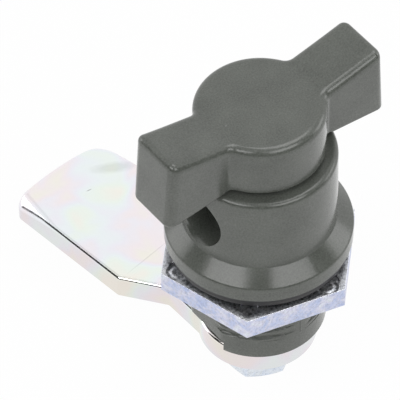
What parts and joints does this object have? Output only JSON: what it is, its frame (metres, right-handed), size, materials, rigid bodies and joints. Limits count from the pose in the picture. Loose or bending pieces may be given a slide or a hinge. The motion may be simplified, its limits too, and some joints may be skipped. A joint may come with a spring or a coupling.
{
  "type": "quarter-turn cam latch",
  "caption": "Quarter-turn cam latch: a wing knob that takes a padlock turns a flat cam blade through a flanged housing with a threaded neck, gasket and clamping nut.",
  "frame": {"origin": "on the turning axis, at the centre of the flange's underside, which is where the neck enters the panel", "axes": "+Z along the turning axis out of the panel towards the knob, X along the wings and the padlock bore in the locked position, the cam blade towards +Y (10.5 degrees past it)"},
  "size_m": [0.0512, 0.074, 0.0747],
  "materials": {
    "knob_plastic": "satin, fine grain",
    "housing_plastic": "satin, fine grain",
    "gasket_rubber": "matt",
    "nut_zinc": "blue zinc plate, mottled",
    "cam_zinc": "bright zinc plate, faintly iridescent",
    "steel_zinc": "zinc plate",
    "spring_steel": "polished",
    "thrust_plastic": "natural"
  },
  "bodies": {
    "housing_body": {"housing": "housing_plastic", "panel_gasket": "gasket_rubber", "panel_nut": "nut_zinc", "detent_plate": "spring_steel", "thrust_washer": "thrust_plastic"},
    "turning_body": {"wing_knob": "knob_plastic", "drum_seal": "gasket_rubber", "spindle": "steel_zinc", "spindle_pin": "spring_steel", "detent_springs": "spring_steel", "detent_balls": "spring_steel", "spindle_seal": "gasket_rubber", "wave_washer": "spring_steel", "retaining_ring": "spring_steel", "stop_washer": "steel_zinc", "cam": "cam_zinc", "plain_washer": "steel_zinc", "spring_washer": "steel_zinc", "cam_bolt": "steel_zinc"}
  },
  "joints": [
    {"name": "quarter_turn", "type": "hinge", "parent": "housing_body", "child": "turning_body", "pos_m": [0, 0, 0], "axis": [0, 0, 1], "range_deg": [0, 90]}
  ]
}
